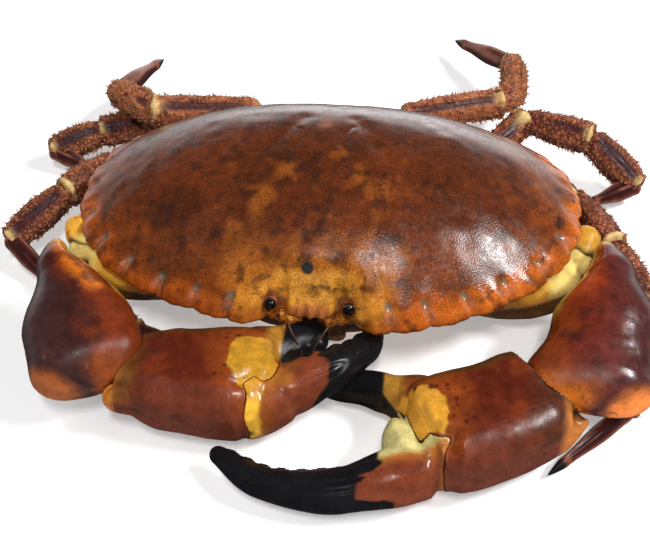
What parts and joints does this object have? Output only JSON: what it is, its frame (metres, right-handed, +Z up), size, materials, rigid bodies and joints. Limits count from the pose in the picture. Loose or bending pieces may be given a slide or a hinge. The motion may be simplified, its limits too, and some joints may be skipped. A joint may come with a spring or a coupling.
{
  "type": "brown crab",
  "caption": "Whole cooked brown crab at rest: domed shell with a pie-crust rim, folded black-tipped claws and jointed walking legs.",
  "frame": {"origin": "on the resting plane under the middle of the shell, on the flat underside of the tail flap", "axes": "+Z up, -Y towards the crab's face and folded claws, +X towards the crab's left side"},
  "size_m": [0.237, 0.2566, 0.0588],
  "materials": {
    "shell": "semi-gloss reddish-brown shell with fine grain, dark blotches and an orange rim",
    "belly": "matt cream to ochre underside",
    "claw": "semi-gloss maroon-brown shell fading to orange and yellow at the joints",
    "finger": "glossy black claw tips with a red-brown base",
    "joint": "smooth yellow-ochre joint shell",
    "leg": "rough reddish-brown leg shell with short stiff bristles",
    "leg_tip": "grooved dark maroon toe with a black point",
    "eye": "glossy black eye",
    "feeler": "thin brown feeler"
  },
  "bodies": {
    "root": {"breastplate": "belly", "left_claw_arm": "joint", "left_claw_finger": "finger", "left_claw_palm": "claw", "left_claw_wrist": "claw", "left_eye": "eye", "left_feeler": "feeler", "left_leg_1_knee": "leg", "left_leg_1_shin": "leg", "left_leg_1_thigh": "leg", "left_leg_1_toe": "leg_tip", "left_leg_2_knee": "leg", "left_leg_2_shin": "leg", "left_leg_2_thigh": "leg", "left_leg_2_toe": "leg_tip", "left_leg_3_knee": "leg", "left_leg_3_shin": "leg", "left_leg_3_thigh": "leg", "left_leg_3_toe": "leg_tip", "left_leg_4_hip": "leg", "left_leg_4_knee": "leg", "left_leg_4_shin": "leg", "left_leg_4_thigh": "leg", "left_leg_4_toe": "leg_tip", "left_mouth_plate": "belly", "right_claw_arm": "joint", "right_claw_finger": "finger", "right_claw_palm": "claw", "right_claw_wrist": "claw", "right_eye": "eye", "right_feeler": "feeler", "right_leg_1_knee": "leg", "right_leg_1_shin": "leg", "right_leg_1_thigh": "leg", "right_leg_1_toe": "leg_tip", "right_leg_2_knee": "leg", "right_leg_2_shin": "leg", "right_leg_2_thigh": "leg", "right_leg_2_toe": "leg_tip", "right_leg_3_knee": "leg", "right_leg_3_shin": "leg", "right_leg_3_thigh": "leg", "right_leg_3_toe": "leg_tip", "right_leg_4_hip": "leg", "right_leg_4_knee": "leg", "right_leg_4_shin": "leg", "right_leg_4_thigh": "leg", "right_leg_4_toe": "leg_tip", "right_mouth_plate": "belly", "shell": "shell", "tail_flap": "belly"}
  },
  "joints": []
}
